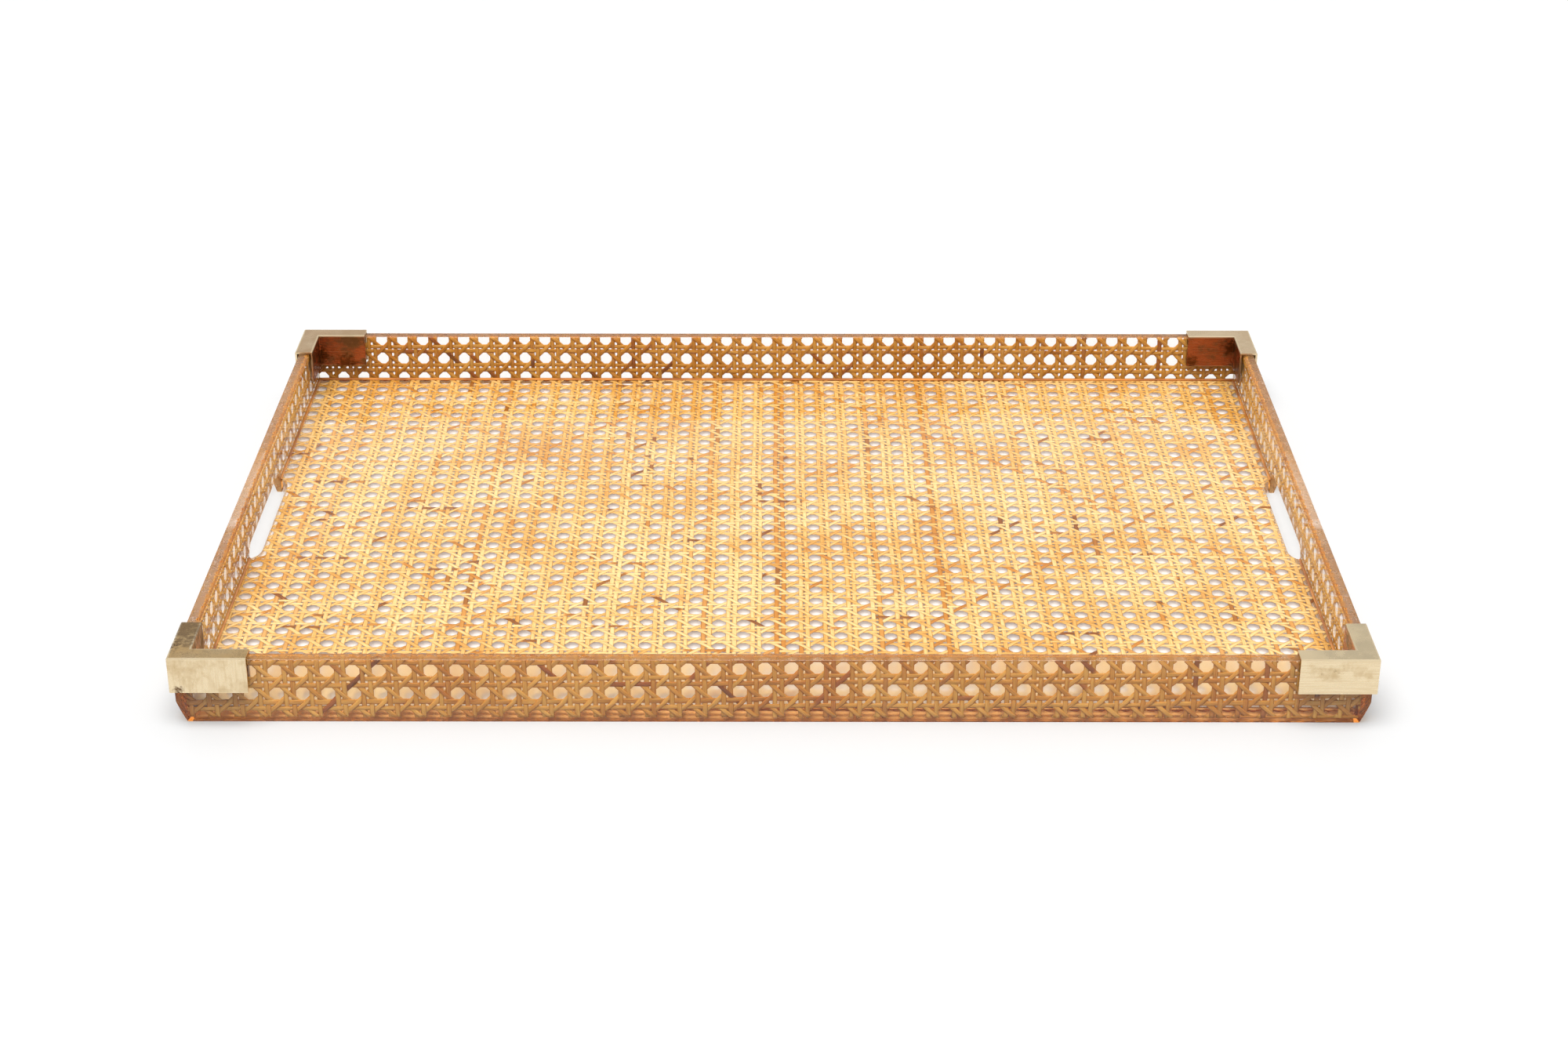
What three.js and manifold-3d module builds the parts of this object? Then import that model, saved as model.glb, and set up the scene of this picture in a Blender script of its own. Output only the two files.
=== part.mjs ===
// A serving tray: a clear floor and four clear walls, each with a sheet of woven cane sealed inside it,
// and a folded brass cap over every corner.
//
// Frame: millimetres, +Z up, origin on the table under the middle of the tray. +X runs along the long
// walls and -Y is the front. The short walls and the floor beside them are cut away for the fingers.

import * as THREE from 'three';
import { mergeVertices } from 'three/addons/utils/BufferGeometryUtils.js';
import Module from 'manifold-3d';

const wasm = await Module();
wasm.setup();

// Overall sizes. Length and depth are over the brass caps, and the wall height is over the clear sheets.
const TRAY_LENGTH = 593.3;
const TRAY_DEPTH = 426.7;
const WALL_HEIGHT = 37.05;

// The laminates, each a clear sheet, a cane sheet and a thinner clear sheet.
const WALL_OUTER_THICKNESS = 4.0;
const WALL_LINER_THICKNESS = 1.0;
const FLOOR_UNDER_THICKNESS = 6.0;
const FLOOR_TOP_THICKNESS = 0.9;
const CANE_THICKNESS = 1.0;
const BOND_GAP = 0.25;

// The joints between the panels: the gap square to each mitre, and round the edge of the floor.
const MITRE_GAP = 0.3;
const FLOOR_FIT = 0.3;

// The foot of a wall: the ledge that its cane and liner stand on, and the outside that draws in to the
// table on a curve from FOOT_RISE down, drawn towards a bend point on the way.
const LEDGE_HEIGHT = 2.4;
const FOOT_INSET = 3.8;
const FOOT_RISE = 13.5;
const FOOT_BEND_INSET = 1.2;
const FOOT_BEND_RISE = 8.0;
const FOOT_STEPS = 10;

// The finger grips: a slot through each short wall, and a shallower slot in the floor beside it.
const GRIP_LENGTH = 102;
const GRIP_OFFSET = 6;
const GRIP_RISE = 6.65;
const GRIP_REACH = 5.4;
const GRIP_WALL_ROUND = 9;
const GRIP_FLOOR_ROUND = 11;
const GRIP_ROUND_STEPS = 10;

// The corner caps: a channel of folded brass sheet, mitred round the corner, with its mouth down.
const BRASS_THICKNESS = 1.2;
const CAP_ARM_X = 39;
const CAP_ARM_Y = 37.8;
const CAP_OUTER_SKIRT = 19.2;
const CAP_INNER_SKIRT = 20;
const CAP_OUTER_GAP = 1.0;
const CAP_INNER_GAP = 0.7;
const CAP_TOP_GAP = 0.4;

// How far a cutter runs past the face that it opens.
const CUT_MARGIN = 5;

// Worked out from the sizes above.
const WALL_CANE_FACE = WALL_OUTER_THICKNESS + BOND_GAP;
const WALL_LINER_FACE = WALL_CANE_FACE + CANE_THICKNESS + BOND_GAP;
const WALL_THICKNESS = WALL_LINER_FACE + WALL_LINER_THICKNESS;
const WALL_OUTER_X = TRAY_LENGTH / 2 - BRASS_THICKNESS - CAP_OUTER_GAP;
const WALL_OUTER_Y = TRAY_DEPTH / 2 - BRASS_THICKNESS - CAP_OUTER_GAP;
const FLOOR_CANE_BOTTOM = FLOOR_UNDER_THICKNESS + BOND_GAP;
const FLOOR_TOP_BOTTOM = FLOOR_CANE_BOTTOM + CANE_THICKNESS + BOND_GAP;
const FLOOR_SURFACE = FLOOR_TOP_BOTTOM + FLOOR_TOP_THICKNESS;
const CAP_WIDTH = 2 * BRASS_THICKNESS + CAP_OUTER_GAP + WALL_THICKNESS + CAP_INNER_GAP;
const CAP_TOP = WALL_HEIGHT + CAP_TOP_GAP + BRASS_THICKNESS;

// The four walls. Each is made in a frame of its own, with X along the wall, Y inwards from its outer
// face and Z up, and is then moved out by `away` and turned about the middle of the tray.
const SIDES = [
  { name: 'front', turn: 0, away: WALL_OUTER_Y, halfLength: WALL_OUTER_X },
  { name: 'right', turn: Math.PI / 2, away: WALL_OUTER_X, halfLength: WALL_OUTER_Y, gripCentre: GRIP_OFFSET },
  { name: 'back', turn: Math.PI, away: WALL_OUTER_Y, halfLength: WALL_OUTER_X },
  { name: 'left', turn: -Math.PI / 2, away: WALL_OUTER_X, halfLength: WALL_OUTER_Y, gripCentre: -GRIP_OFFSET },
];

const clearSheet = () => new THREE.MeshStandardMaterial({
  color: 0xe8ece6,
  roughness: 0.06,
  metalness: 0,
  transparent: true,
  opacity: 0.35,
  flatShading: true,
});

const wovenCane = () => new THREE.MeshStandardMaterial({
  color: 0xd9a860,
  roughness: 0.55,
  metalness: 0,
  flatShading: true,
});

const foldedBrass = () => new THREE.MeshStandardMaterial({
  color: 0xc8aa72,
  roughness: 0.35,
  metalness: 1,
  flatShading: true,
});

function solidOf(geometry) {
  const bare = geometry.clone();
  bare.deleteAttribute('normal');
  bare.deleteAttribute('uv');
  const merged = mergeVertices(bare);
  return new wasm.Manifold(new wasm.Mesh({
    numProp: 3,
    vertProperties: new Float32Array(merged.getAttribute('position').array),
    triVerts: new Uint32Array(merged.index.array),
  }));
}

function geometryOf(solid) {
  const { vertProperties, triVerts } = solid.getMesh();
  const geometry = new THREE.BufferGeometry();
  geometry.setAttribute('position', new THREE.BufferAttribute(vertProperties, 3));
  geometry.setIndex(new THREE.BufferAttribute(triVerts, 1));
  geometry.computeVertexNormals();
  return geometry;
}

function cutAway(geometry, cutters) {
  return geometryOf(cutters.reduce((rest, cutter) => rest.subtract(solidOf(cutter)), solidOf(geometry)));
}

function piece(name, geometry, material) {
  const mesh = new THREE.Mesh(geometry, material);
  mesh.name = name;
  return mesh;
}

// A straight-sided solid of an outline in plan, between two heights.
function slab(outline, bottom, top) {
  return new THREE.ExtrudeGeometry(outline, { depth: top - bottom, bevelEnabled: false })
    .translate(0, 0, bottom);
}

// A closed outline through points given as [x, y].
function outlineOf(points) {
  return new THREE.Shape(points.map(([x, y]) => new THREE.Vector2(x, y)));
}

// A bar along X whose cross-section's x is its depth into the wall and y its height. Its ends are cut at
// 45 degrees, so that the bar is longest at the outer face, and each stands half the gap off the mitre.
function mitredBar(section, halfLength) {
  const geometry = new THREE.ExtrudeGeometry(section, { depth: 2, bevelEnabled: false });
  const points = geometry.getAttribute('position');
  for (let i = 0; i < points.count; i += 1) {
    const inward = points.getX(i);
    const height = points.getY(i);
    const endward = points.getZ(i) - 1;
    points.setXYZ(i, endward * (halfLength - inward - MITRE_GAP / Math.SQRT2), inward, height);
  }
  geometry.computeVertexNormals();
  return geometry;
}

// The outer sheet's cross-section: a plain sheet with the curved foot outside and the ledge inside.
function outerSheetSection() {
  const section = new THREE.Shape();
  section.moveTo(FOOT_INSET, 0);
  section.lineTo(WALL_THICKNESS, 0);
  section.lineTo(WALL_THICKNESS, LEDGE_HEIGHT);
  section.lineTo(WALL_OUTER_THICKNESS, LEDGE_HEIGHT);
  section.lineTo(WALL_OUTER_THICKNESS, WALL_HEIGHT);
  section.lineTo(0, WALL_HEIGHT);
  section.lineTo(0, FOOT_RISE);
  const foot = new THREE.QuadraticBezierCurve(
    new THREE.Vector2(0, FOOT_RISE),
    new THREE.Vector2(FOOT_BEND_INSET, FOOT_BEND_RISE),
    new THREE.Vector2(FOOT_INSET, 0),
  );
  for (const point of foot.getPoints(FOOT_STEPS).slice(1, -1)) section.lineTo(point.x, point.y);
  section.closePath();
  return section;
}

// The cross-section of a sheet that stands on the ledge: from one depth into the wall to another.
function ledgeSheetSection(near, far) {
  const bottom = LEDGE_HEIGHT + BOND_GAP;
  return outlineOf([[near, bottom], [far, bottom], [far, WALL_HEIGHT], [near, WALL_HEIGHT]]);
}

// The outline of a grip's slot: straight from `start` to `shoulder`, then closing in to `end` with a
// quarter of an ellipse, `round` long, at each corner.
function slotOutline(centre, start, shoulder, end, round) {
  const half = GRIP_LENGTH / 2;
  const corner = (turn) => Array.from({ length: GRIP_ROUND_STEPS + 1 }, (_, i) => {
    const angle = (i / GRIP_ROUND_STEPS) * (Math.PI / 2);
    const along = half - round + round * Math.cos(angle);
    return [centre + turn * along, shoulder + (end - shoulder) * Math.sin(angle)];
  });
  return outlineOf([
    [centre - half, start],
    [centre + half, start],
    ...corner(1),
    ...corner(-1).reverse(),
  ]);
}

// The slot through a wall, in the wall's own frame: open at the table, closed above the floor.
function wallGrip(side) {
  const outline = slotOutline(
    side.gripCentre,
    -CUT_MARGIN,
    FLOOR_SURFACE,
    FLOOR_SURFACE + GRIP_RISE,
    GRIP_WALL_ROUND,
  );
  return slab(outline, -CUT_MARGIN, WALL_THICKNESS + CUT_MARGIN)
    .rotateX(Math.PI / 2)
    .translate(0, WALL_THICKNESS, 0);
}

// The slot through the floor, in the tray's frame.
function floorGrip(side) {
  const outline = slotOutline(
    side.gripCentre,
    0,
    WALL_THICKNESS,
    WALL_THICKNESS + GRIP_REACH,
    GRIP_FLOOR_ROUND,
  );
  return slab(outline, -CUT_MARGIN, FLOOR_SURFACE + CUT_MARGIN)
    .translate(0, -side.away, 0)
    .rotateZ(side.turn);
}

// The floor laminate, fitted between the walls.
function makeFloor() {
  const floor = new THREE.Group();
  const length = 2 * (WALL_OUTER_X - WALL_THICKNESS - FLOOR_FIT);
  const depth = 2 * (WALL_OUTER_Y - WALL_THICKNESS - FLOOR_FIT);
  const grips = SIDES.filter((side) => side.gripCentre !== undefined).map(floorGrip);
  const layer = (name, bottom, thickness, material) => {
    const whole = new THREE.BoxGeometry(length, depth, thickness).translate(0, 0, bottom + thickness / 2);
    floor.add(piece(name, cutAway(whole, grips), material));
  };
  layer('floor_under_sheet', 0, FLOOR_UNDER_THICKNESS, clearSheet());
  layer('floor_cane', FLOOR_CANE_BOTTOM, CANE_THICKNESS, wovenCane());
  layer('floor_top_sheet', FLOOR_TOP_BOTTOM, FLOOR_TOP_THICKNESS, clearSheet());
  return floor;
}

// One wall laminate: outer sheet, cane and liner, mitred at both ends.
function makeWall(side) {
  const wall = new THREE.Group();
  wall.rotation.z = side.turn;
  const grips = side.gripCentre === undefined ? [] : [wallGrip(side)];
  const layer = (name, section, material) => {
    const whole = mitredBar(section, side.halfLength);
    const geometry = grips.length > 0 ? cutAway(whole, grips) : whole;
    const mesh = piece(`${side.name}_wall_${name}`, geometry, material);
    mesh.position.y = -side.away;
    wall.add(mesh);
  };
  layer('outer_sheet', outerSheetSection(), clearSheet());
  layer('cane', ledgeSheetSection(WALL_CANE_FACE, WALL_CANE_FACE + CANE_THICKNESS), wovenCane());
  layer('liner', ledgeSheetSection(WALL_LINER_FACE, WALL_THICKNESS), clearSheet());
  return wall;
}

// An L in plan round one corner of the tray, between two distances in from the outside of the caps.
// `sideX` and `sideY` are -1 or 1 and say which corner it is.
function cornerStrip(sideX, sideY, near, far) {
  const at = (x, y) => [sideX * (TRAY_LENGTH / 2 - x), sideY * (TRAY_DEPTH / 2 - y)];
  return outlineOf([
    at(near, near),
    at(CAP_ARM_X, near),
    at(CAP_ARM_X, far),
    at(far, far),
    at(far, CAP_ARM_Y),
    at(near, CAP_ARM_Y),
  ]);
}

// One brass cap: a flat top with a skirt folded down outside and inside the walls.
function makeCap(name, sideX, sideY) {
  const plate = slab(cornerStrip(sideX, sideY, 0, CAP_WIDTH), CAP_TOP - BRASS_THICKNESS, CAP_TOP);
  const outerSkirt = slab(
    cornerStrip(sideX, sideY, 0, BRASS_THICKNESS),
    CAP_TOP - CAP_OUTER_SKIRT,
    CAP_TOP,
  );
  const innerSkirt = slab(
    cornerStrip(sideX, sideY, CAP_WIDTH - BRASS_THICKNESS, CAP_WIDTH),
    CAP_TOP - CAP_INNER_SKIRT,
    CAP_TOP,
  );
  const whole = solidOf(plate).add(solidOf(outerSkirt)).add(solidOf(innerSkirt));
  return piece(name, geometryOf(whole), foldedBrass());
}

const group = new THREE.Group();
group.add(makeFloor());
for (const side of SIDES) group.add(makeWall(side));
group.add(makeCap('cap_front_left', -1, -1));
group.add(makeCap('cap_front_right', 1, -1));
group.add(makeCap('cap_back_left', -1, 1));
group.add(makeCap('cap_back_right', 1, 1));

export default group;
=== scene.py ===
"""A clear serving tray with woven cane sealed in its floor and walls, and a folded brass cap on each corner.

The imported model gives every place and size. This script lays the finished surfaces over it: the strands
of the cane, the clear sheets that hold them, and the folded brass. Lengths in the sizes below are metres.
"""

import logging
import math
from dataclasses import dataclass, field
from enum import Enum

import bmesh
import bpy
import numpy as np
from mathutils import Matrix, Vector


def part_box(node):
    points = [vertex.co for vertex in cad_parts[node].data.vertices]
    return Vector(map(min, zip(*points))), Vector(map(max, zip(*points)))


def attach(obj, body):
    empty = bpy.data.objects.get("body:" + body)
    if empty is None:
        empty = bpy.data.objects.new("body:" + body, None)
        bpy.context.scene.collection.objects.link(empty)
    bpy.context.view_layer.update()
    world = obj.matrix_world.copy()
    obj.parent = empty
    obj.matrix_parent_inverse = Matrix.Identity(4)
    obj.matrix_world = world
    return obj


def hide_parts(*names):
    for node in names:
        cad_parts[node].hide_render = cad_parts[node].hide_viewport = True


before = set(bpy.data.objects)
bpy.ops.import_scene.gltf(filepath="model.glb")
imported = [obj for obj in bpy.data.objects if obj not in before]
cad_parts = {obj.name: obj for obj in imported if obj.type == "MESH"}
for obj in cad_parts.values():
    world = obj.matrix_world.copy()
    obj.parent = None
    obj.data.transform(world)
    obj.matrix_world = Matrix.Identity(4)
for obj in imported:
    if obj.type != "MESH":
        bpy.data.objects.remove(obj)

LOG = logging.getLogger("tray")
MM = 0.001
HAIR = 0.1 * MM  # how near two places count as the same plane


# ---------------------------------------------------------------------------------------------------
# Meshes


@dataclass
class Surface:
    """Points, faces and named values per point that together make one mesh.

    Attributes:
        points: an array of N by 3 places, in metres.
        faces: a list of arrays, each M by 3 or M by 4 point numbers, or tuples of more.
        values: arrays of N numbers by name, which materials read as attributes.
    """

    points: np.ndarray
    faces: list[np.ndarray]
    values: dict[str, np.ndarray] = field(default_factory=dict)


def mesh_object(name: str, surface: Surface, smooth: bool = True, tidy: bool = False) -> bpy.types.Object:
    """Puts a surface into a new mesh object at the origin.

    Args:
        name: the object's name.
        surface: the points, faces and values.
        smooth: whether its faces shade smoothly.
        tidy: whether doubled points and empty faces are taken out and the faces turned outwards.

    Returns:
        The object, linked to the scene.
    """
    mesh = bpy.data.meshes.new(name)
    faces = [tuple(map(int, face)) for block in surface.faces for face in block]
    mesh.from_pydata(surface.points.tolist(), [], faces)
    for label, numbers in surface.values.items():
        layer = mesh.attributes.new(label, "FLOAT", "POINT")
        layer.data.foreach_set("value", np.asarray(numbers, np.float32))
    if tidy:
        work = bmesh.new()
        work.from_mesh(mesh)
        bmesh.ops.remove_doubles(work, verts=work.verts, dist=1e-6)
        bmesh.ops.dissolve_degenerate(work, edges=work.edges, dist=1e-6)
        bmesh.ops.recalc_face_normals(work, faces=work.faces)
        work.to_mesh(mesh)
        work.free()
    mesh.polygons.foreach_set("use_smooth", np.full(len(mesh.polygons), smooth))
    mesh.update()
    made = bpy.data.objects.new(name, mesh)
    bpy.context.scene.collection.objects.link(made)
    return made


def face_places(piece: bpy.types.Object) -> tuple[np.ndarray, np.ndarray]:
    """Reads where each face lies and which way it points.

    Args:
        piece: the object.

    Returns:
        The middle and the normal of each face, as two arrays of N by 3.
    """
    count = len(piece.data.polygons)
    middles, normals = np.empty(count * 3, np.float32), np.empty(count * 3, np.float32)
    piece.data.polygons.foreach_get("center", middles)
    piece.data.polygons.foreach_get("normal", normals)
    return middles.reshape(-1, 3), normals.reshape(-1, 3)


def finish_piece(piece: bpy.types.Object, slot: str, *nodes: str) -> bpy.types.Object:
    """Hangs a piece on the tray's one body, and says which nodes it stands for.

    Args:
        piece: the finished object.
        slot: the material slot of the record that it takes its finish from. It is not used.
        nodes: the nodes that it replaces, if any.

    Returns:
        The same object.
    """
    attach(piece, "root")
    if nodes:
        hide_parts(*nodes)
    stands_for = ", ".join(nodes) or "itself"
    LOG.info("%s: %d faces, stands for %s", piece.name, len(piece.data.polygons), stands_for)
    return piece


def ring_faces(rings: int, around: int) -> np.ndarray:
    """Quads that join each closed ring of points to the next. Point number is ring times points per ring,
    plus place in the ring, and the last place joins back to the first.

    Args:
        rings: how many rings there are.
        around: how many points each ring has.

    Returns:
        An array of quads, by point number, ring after ring.
    """
    ring, spot = np.meshgrid(np.arange(rings - 1), np.arange(around), indexing="ij")
    here = ring * around + spot
    beside = ring * around + (spot + 1) % around
    return np.stack([here, beside, beside + around, here + around], axis=-1).reshape(-1, 4)


def end_faces(rings: int, around: int) -> list[np.ndarray]:
    """The two faces that close the first ring and the last one, each turned outwards.

    Args:
        rings: how many rings there are.
        around: how many points each ring has.

    Returns:
        Two arrays of one face each.
    """
    return [np.arange(around)[None, ::-1], np.arange(around)[None, :] + around * (rings - 1)]


def carried(name: str, rings: list[np.ndarray], **values: np.ndarray) -> bpy.types.Object:
    """Makes a piece of a closed section carried along a path, with flat faces and both ends shut.

    Args:
        name: the object's name.
        rings: the section's points at each place on the path.
        values: named values for each point of the section.

    Returns:
        The object.
    """
    count = len(rings[0])
    faces = [ring_faces(len(rings), count), *end_faces(len(rings), count)]
    spread = {key: np.tile(numbers, len(rings)) for key, numbers in values.items()}
    return mesh_object(name, Surface(np.concatenate(rings), faces, spread), smooth=False, tidy=True)


# ---------------------------------------------------------------------------------------------------
# Material nodes


class NodeBook:
    """Writes the nodes of one material, one call to a node."""

    def __init__(self, name: str) -> None:
        """Starts an empty material.

        Args:
            name: the material's name.
        """
        self.material = bpy.data.materials.new(name)
        self.material.use_nodes = True
        self.tree = self.material.node_tree
        self.tree.nodes.clear()
        self.output = self.tree.nodes.new("ShaderNodeOutputMaterial")

    def node(self, kind: str, settings: dict | None = None, **inputs: object) -> bpy.types.Node:
        """Adds a node.

        Args:
            kind: the node's type, without its ShaderNode prefix.
            settings: the node's own properties.
            inputs: its inputs by name, with _ for a space, or as i0, i1 by number. Each is a number, a
                colour or another node's output.

        Returns:
            The node.
        """
        made = self.tree.nodes.new("ShaderNode" + kind)
        for key, value in (settings or {}).items():
            setattr(made, key, value)
        for key, value in inputs.items():
            numbered = key[0] == "i" and key[1:].isdigit()
            self.fill(made.inputs[int(key[1:]) if numbered else key.replace("_", " ")], value)
        return made

    def fill(self, socket: bpy.types.NodeSocket, value: object) -> None:
        """Gives an input a number or a colour, or links another node's output to it.

        Args:
            socket: the input.
            value: the number, the colour or the output.
        """
        if isinstance(value, bpy.types.NodeSocket):
            self.tree.links.new(value, socket)
        else:
            socket.default_value = value

    def math(self, operation: str, first: object, second: object = 0.0, clamp: bool = False
             ) -> bpy.types.NodeSocket:
        """The output of a Math node on two numbers or outputs."""
        return self.node("Math", {"operation": operation, "use_clamp": clamp}, i0=first, i1=second).outputs[0]

    def mix(self, share: object, low: object, high: object) -> bpy.types.NodeSocket:
        """The colour between two colours, by a share from 0 to 1."""
        return self.node("Mix", {"data_type": "RGBA"}, i0=share, i6=low, i7=high).outputs[2]

    def ramp(self, share: bpy.types.NodeSocket, *stops: tuple[float, tuple[float, ...]]
             ) -> bpy.types.NodeSocket:
        """The colour that a ramp gives for a number.

        Args:
            share: the number, from 0 to 1.
            stops: the ramp's stops in order, each a place and a colour.

        Returns:
            The colour.
        """
        made = self.node("ValToRGB", None, i0=share)
        line = made.color_ramp.elements
        while len(line) < len(stops):
            line.new(0.5)
        for element, (place, colour) in zip(line, stops):
            element.position = place
            element.color = colour
        return made.outputs[0]

    def spread(self, value: object, low: float, high: float, to_low: float = 0.0, to_high: float = 1.0
               ) -> bpy.types.NodeSocket:
        """A number moved smoothly from one range to another, and held at its ends.

        Args:
            value: the number.
            low, high: the range it comes from.
            to_low, to_high: the range it goes to.

        Returns:
            The moved number.
        """
        settings = {"interpolation_type": "SMOOTHSTEP", "clamp": True}
        return self.node("MapRange", settings, i0=value, i1=low, i2=high, i3=to_low, i4=to_high).outputs[0]

    def attribute(self, name: str) -> bpy.types.NodeSocket:
        """The number that the mesh holds at each point under that name."""
        return self.node("Attribute", {"attribute_name": name, "attribute_type": "GEOMETRY"}).outputs["Fac"]

    def place(self, *stretch: float) -> bpy.types.NodeSocket:
        """Object coordinates, stretched by three factors."""
        where = self.node("TexCoord").outputs["Object"]
        return self.node("Mapping", None, Vector=where, Scale=stretch).outputs[0]

    def noise(self, vector: bpy.types.NodeSocket, scale: float, detail: float = 3.0, rough: float = 0.55
              ) -> bpy.types.NodeSocket:
        """Noise from about 0.3 to 0.7 at a vector."""
        made = self.node("TexNoise", None, Vector=vector, Scale=scale, Detail=detail, Roughness=rough)
        return made.outputs[0]

    def cloud(self, scale: float, detail: float = 3.0, rough: float = 0.55) -> bpy.types.NodeSocket:
        """Noise that lies in the piece, the same in every direction."""
        return self.noise(self.place(1, 1, 1), scale, detail, rough)

    def close(self, shader: bpy.types.NodeSocket) -> bpy.types.Material:
        """Joins a shader to the output and returns the material."""
        self.tree.links.new(shader, self.output.inputs["Surface"])
        return self.material


@dataclass(frozen=True)
class CaneFinish:
    """The look of cane: straw to amber along and between strands, fine grain and darker edges.

    Attributes:
        name: the material's name.
        pale, golden, amber: its colours from the lightest strand to the deepest.
        tawny, brown: the colours of a light stain and a dark one.
        through: the colour of light that has passed through it.
        glow: the share of light that passes through a strand.
        roughness: the sheen of its skin.
        painted_back_deepening: how much deeper its colour grows towards the back of the tray, a painted
            stand-in for the reflections and haze that change across the floor.
        fibres: how often the grain changes along a strand, across it, and from one strand to another.
        patch: how often the colour changes over the sheet.
    """

    name: str
    pale: tuple = (0.76, 0.58, 0.275, 1.0)
    golden: tuple = (0.66, 0.41, 0.115, 1.0)
    amber: tuple = (0.51, 0.24, 0.035, 1.0)
    tawny: tuple = (0.48, 0.200, 0.025, 1.0)
    brown: tuple = (0.20, 0.062, 0.008, 1.0)
    through: tuple = (0.90, 0.55, 0.13, 1.0)
    glow: float = 0.42
    roughness: float = 0.34
    painted_back_deepening: float = 0.0
    fibres: tuple = (55.0, 4.5, 91.0)
    patch: float = 17.0

    def grain(self, book: NodeBook) -> bpy.types.NodeSocket:
        """Noise drawn out along each strand and different on each.

        Args:
            book: the material being written.

        Returns:
            The noise.
        """
        parts = [book.math("MULTIPLY", book.attribute(name), often)
                 for name, often in zip(("along", "across", "tone"), self.fibres)]
        thread = book.node("CombineXYZ", None, i0=parts[0], i1=parts[1], i2=parts[2]).outputs[0]
        return book.noise(thread, 1.0, 4.0, 0.65)

    def lean(self, book: NodeBook, grain: bpy.types.NodeSocket) -> bpy.types.NodeSocket:
        """How far the colour leans from pale to amber: by strand, by patch, by fibre and by depth in the tray.

        Args:
            book: the material being written.
            grain: the fibres' noise.

        Returns:
            The lean, from 0 to 1.
        """
        strand = book.math("MULTIPLY", book.attribute("tone"), 0.75)
        lean = book.math("ADD", strand, book.spread(book.cloud(self.patch, 2.0), 0.35, 0.7, -0.2, 0.28))
        lean = book.math("ADD", lean, book.spread(grain, 0.34, 0.66, -0.28, 0.34), clamp=True)
        # Painted light: the colour deepens towards the back of the tray, standing in for the reflections and
        # haze that change across the floor.
        back = book.node("SeparateXYZ", None, i0=book.place(1, 1, 1)).outputs["Y"]
        return book.math("ADD", lean, book.spread(back, 0.0, 0.20, 0.0, self.painted_back_deepening), clamp=True)

    def material(self) -> bpy.types.Material:
        """Builds the material: the leaning colour, darker rims, light and dark stains, and a bumped skin that
        lets some light through.

        Returns:
            The material.
        """
        book = NodeBook(self.name)
        grain = self.grain(book)
        stain = book.attribute("stain")
        colour = book.ramp(self.lean(book, grain), (0.0, self.pale), (0.5, self.golden), (1.0, self.amber))
        rim = book.math("POWER", book.math("ABSOLUTE", book.attribute("across")), 3.0)
        colour = book.mix(book.math("MULTIPLY", rim, 0.30), colour, self.amber)
        colour = book.mix(book.math("MULTIPLY", stain, 1.7, clamp=True), colour, self.tawny)
        colour = book.mix(book.spread(stain, 0.62, 0.95), colour, self.brown)
        bump = book.node("Bump", None, Strength=0.35, Distance=0.00012, Height=grain).outputs[0]
        rough = book.spread(grain, 0.3, 0.7, self.roughness - 0.08, self.roughness + 0.14)
        skin = book.node("BsdfPrincipled", None, Base_Color=colour, Roughness=rough, Normal=bump).outputs[0]
        warm = book.mix(0.65, colour, self.through)
        through = book.node("BsdfTranslucent", None, Color=warm, Normal=bump).outputs[0]
        return book.close(book.node("MixShader", None, i0=self.glow, i1=skin, i2=through).outputs[0])


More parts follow.
